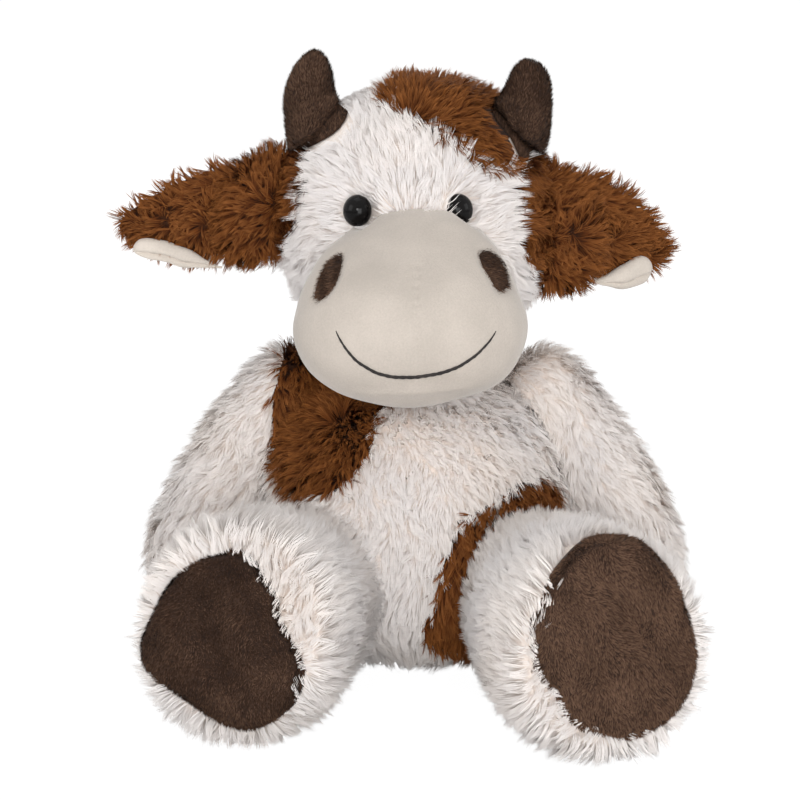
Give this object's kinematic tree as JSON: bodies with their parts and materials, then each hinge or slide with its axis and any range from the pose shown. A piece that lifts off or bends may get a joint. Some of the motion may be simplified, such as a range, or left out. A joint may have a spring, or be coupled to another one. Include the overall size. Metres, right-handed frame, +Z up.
{
  "type": "plush cow",
  "caption": "Sitting stuffed toy cow of long white and brown pile, with a smooth muzzle, dark horns and soles; its head, ears, arms, legs and tail bend at their seams.",
  "frame": {"origin": "on the floor, under the middle of the seat", "axes": "+Z up; -Y is the way the cow faces; +X is the cow's own left side"},
  "size_m": [0.3122, 0.3352, 0.3251],
  "materials": {
    "black_gloss": "gloss",
    "black_thread": "matte",
    "brown_pile": "matte",
    "cream_velboa": "matte",
    "dark_pile": "matte",
    "nylon_white": "satin",
    "pouch_grey": "matte",
    "stuffing_white": "matte",
    "white_pile": "matte"
  },
  "bodies": {
    "torso": {"torso_skin": "white_pile", "torso_stuffing": "stuffing_white", "bean_pouch": "pouch_grey", "chest_patch": "brown_pile", "belly_patch": "brown_pile"},
    "neck": {"neck_thread": "nylon_white"},
    "head": {"head_skin": "white_pile", "head_stuffing": "stuffing_white", "forehead_patch": "brown_pile", "muzzle_skin": "cream_velboa", "muzzle_stuffing": "stuffing_white", "nostril_left": "dark_pile", "nostril_right": "dark_pile", "smile_thread": "black_thread", "eye_left": "black_gloss", "eye_washer_left": "nylon_white", "eye_right": "black_gloss", "eye_washer_right": "nylon_white", "horn_left": "dark_pile", "horn_right": "dark_pile"},
    "ear_left": {"ear_left_back": "brown_pile", "ear_left_lining": "cream_velboa"},
    "ear_right": {"ear_right_back": "brown_pile", "ear_right_lining": "cream_velboa"},
    "arm_left": {"arm_left_skin": "white_pile", "arm_left_stuffing": "stuffing_white"},
    "arm_right": {"arm_right_skin": "white_pile", "arm_right_stuffing": "stuffing_white"},
    "leg_left": {"leg_left_skin": "white_pile", "leg_left_stuffing": "stuffing_white", "sole_left": "dark_pile"},
    "leg_right": {"leg_right_skin": "white_pile", "leg_right_stuffing": "stuffing_white", "sole_right": "dark_pile"},
    "tail": {"tail_skin": "white_pile", "tail_tuft": "brown_pile"}
  },
  "joints": [
    {"name": "head_nod", "type": "hinge", "parent": "torso", "child": "neck", "pos_m": [0, 0, 0.15], "axis": [1, 0, 0], "range_deg": [-12, 12]},
    {"name": "head_turn", "type": "hinge", "parent": "neck", "child": "head", "pos_m": [0, 0, 0.15], "axis": [0, 0, 1], "range_deg": [-25, 25]},
    {"name": "ear_left_flap", "type": "hinge", "parent": "head", "child": "ear_left", "pos_m": [0.07479, -0.00034, 0.24842], "axis": [-0.1334, 0.0147, 0.9909], "range_deg": [-25, 25]},
    {"name": "ear_right_flap", "type": "hinge", "parent": "head", "child": "ear_right", "pos_m": [-0.07479, -0.00034, 0.24842], "axis": [0.1334, 0.0147, 0.9909], "range_deg": [-25, 25]},
    {"name": "arm_left_lift", "type": "hinge", "parent": "torso", "child": "arm_left", "pos_m": [0.04573, 0.01, 0.1536], "axis": [0, -1, 0], "range_deg": [0, 40]},
    {"name": "arm_right_lift", "type": "hinge", "parent": "torso", "child": "arm_right", "pos_m": [-0.04573, 0.01, 0.1536], "axis": [0, 1, 0], "range_deg": [0, 40]},
    {"name": "leg_left_lift", "type": "hinge", "parent": "torso", "child": "leg_left", "pos_m": [0.07628, -0.09018, 0.10543], "axis": [-0.9588, -0.284, 0], "range_deg": [0, 30]},
    {"name": "leg_right_lift", "type": "hinge", "parent": "torso", "child": "leg_right", "pos_m": [-0.07565, -0.08114, 0.10543], "axis": [-0.9455, 0.3256, 0], "range_deg": [0, 30]},
    {"name": "tail_lift", "type": "hinge", "parent": "torso", "child": "tail", "pos_m": [0, 0.09068, 0.09422], "axis": [1, 0, 0], "range_deg": [0, 70]}
  ]
}
